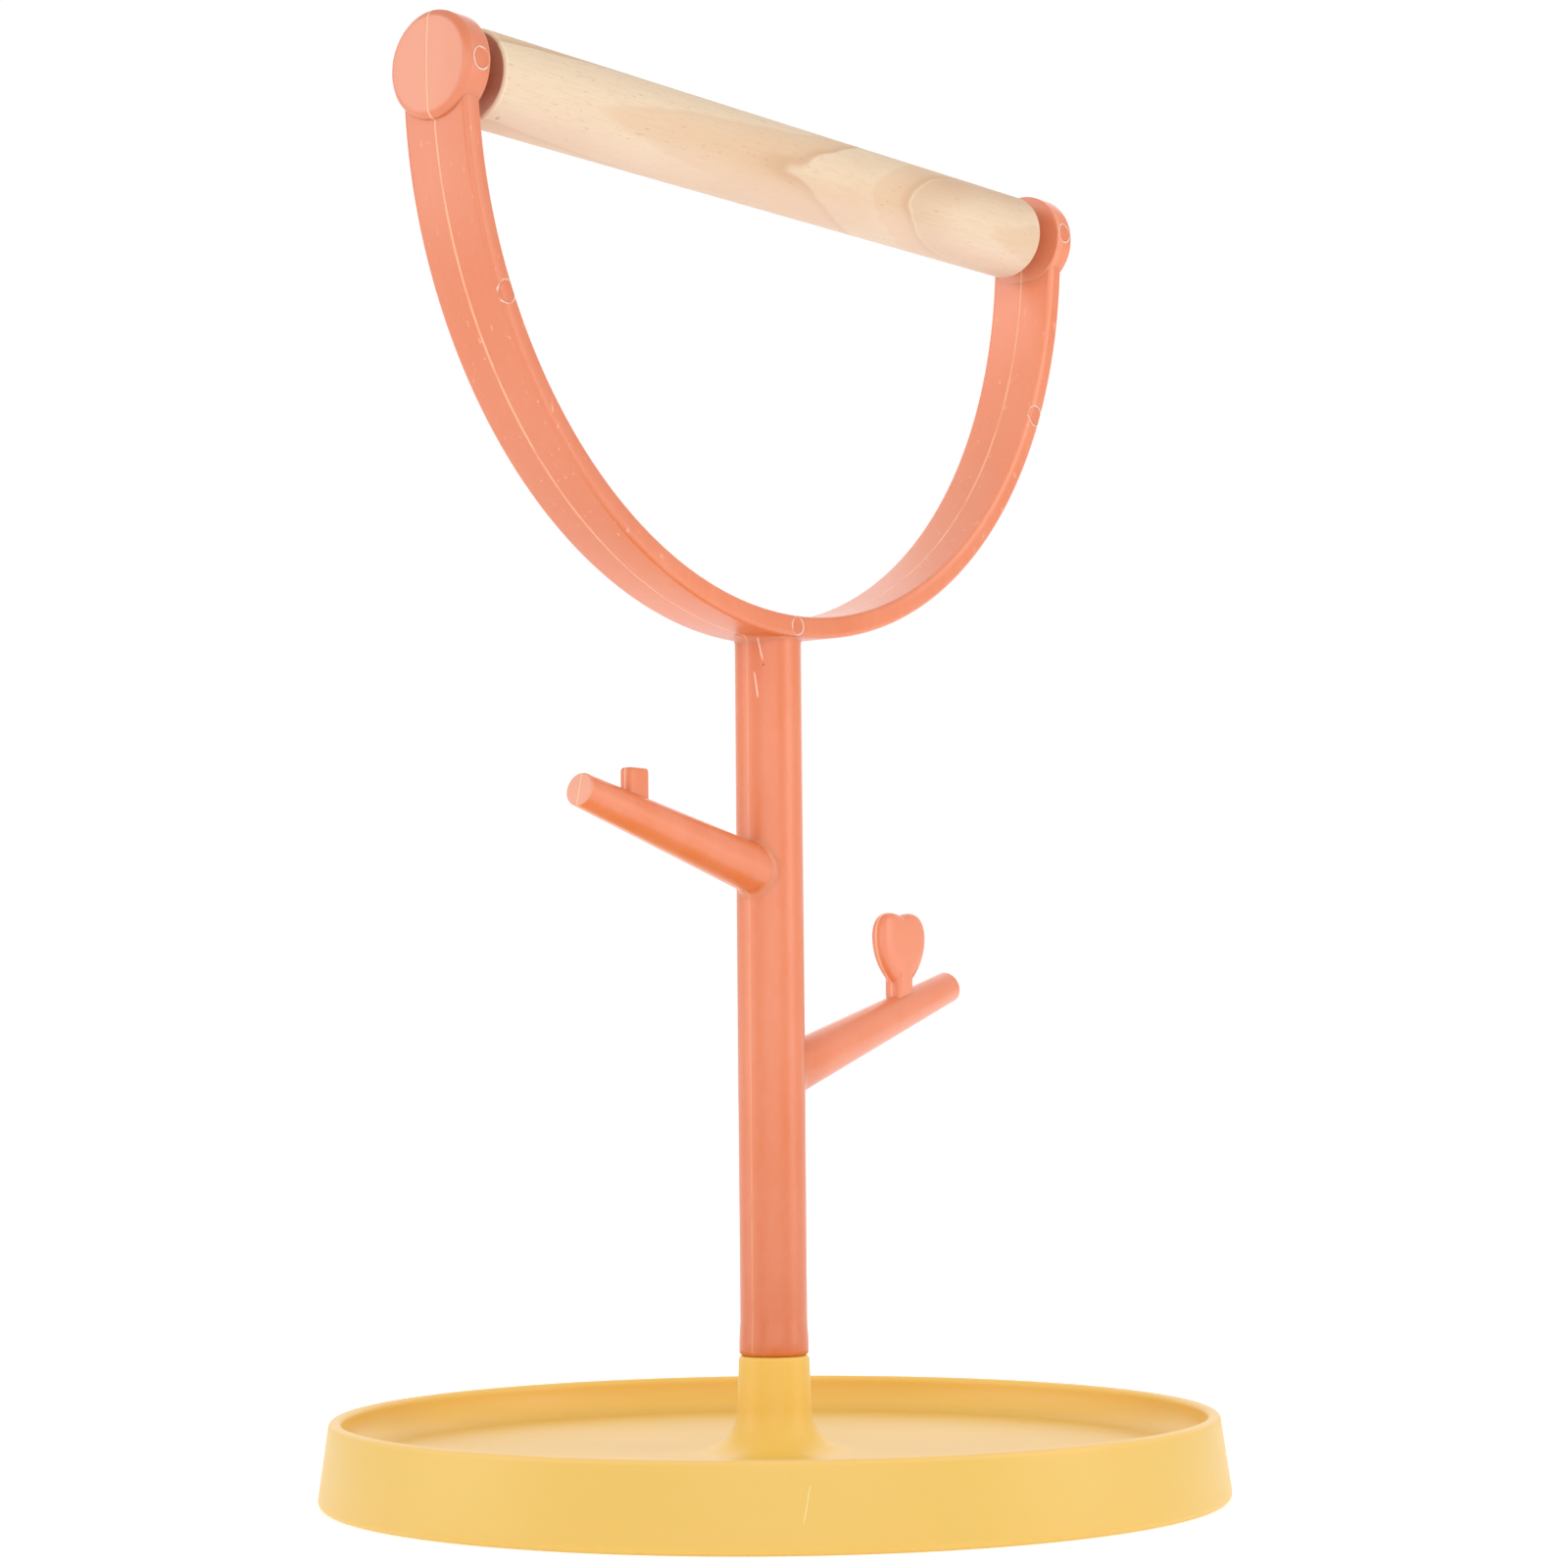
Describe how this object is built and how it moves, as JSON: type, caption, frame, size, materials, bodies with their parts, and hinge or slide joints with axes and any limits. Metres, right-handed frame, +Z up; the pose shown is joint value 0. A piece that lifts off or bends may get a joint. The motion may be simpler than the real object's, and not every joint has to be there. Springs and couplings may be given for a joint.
{
  "type": "bird play stand",
  "caption": "Desktop perch for a small parrot: round tray, upright trunk with two short branches and a heart, and a yoke that carries a turning wooden perch.",
  "frame": {"origin": "centre of the tray's foot circle, on the table", "axes": "+Z up along the trunk; +X along the perch, towards the side of the lower branch and the heart; +Y across the yoke"},
  "size_m": [0.1758, 0.16, 0.247],
  "materials": {
    "yellow_plastic": "satin injection-moulded polypropylene, warm yellow",
    "coral_plastic": "satin injection-moulded polypropylene, coral",
    "pine": "sanded bare pine dowel",
    "zinc_steel": "zinc-plated steel"
  },
  "bodies": {
    "stand": {"tray": "yellow_plastic", "stem": "coral_plastic", "stem_screw": "zinc_steel", "screw_washer": "zinc_steel"},
    "perch": {"perch_dowel": "pine"}
  },
  "joints": [
    {"name": "perch_spin", "type": "hinge", "parent": "stand", "child": "perch", "pos_m": [0, 0, 0.238], "axis": [1, 0, 0], "continuous": true}
  ]
}
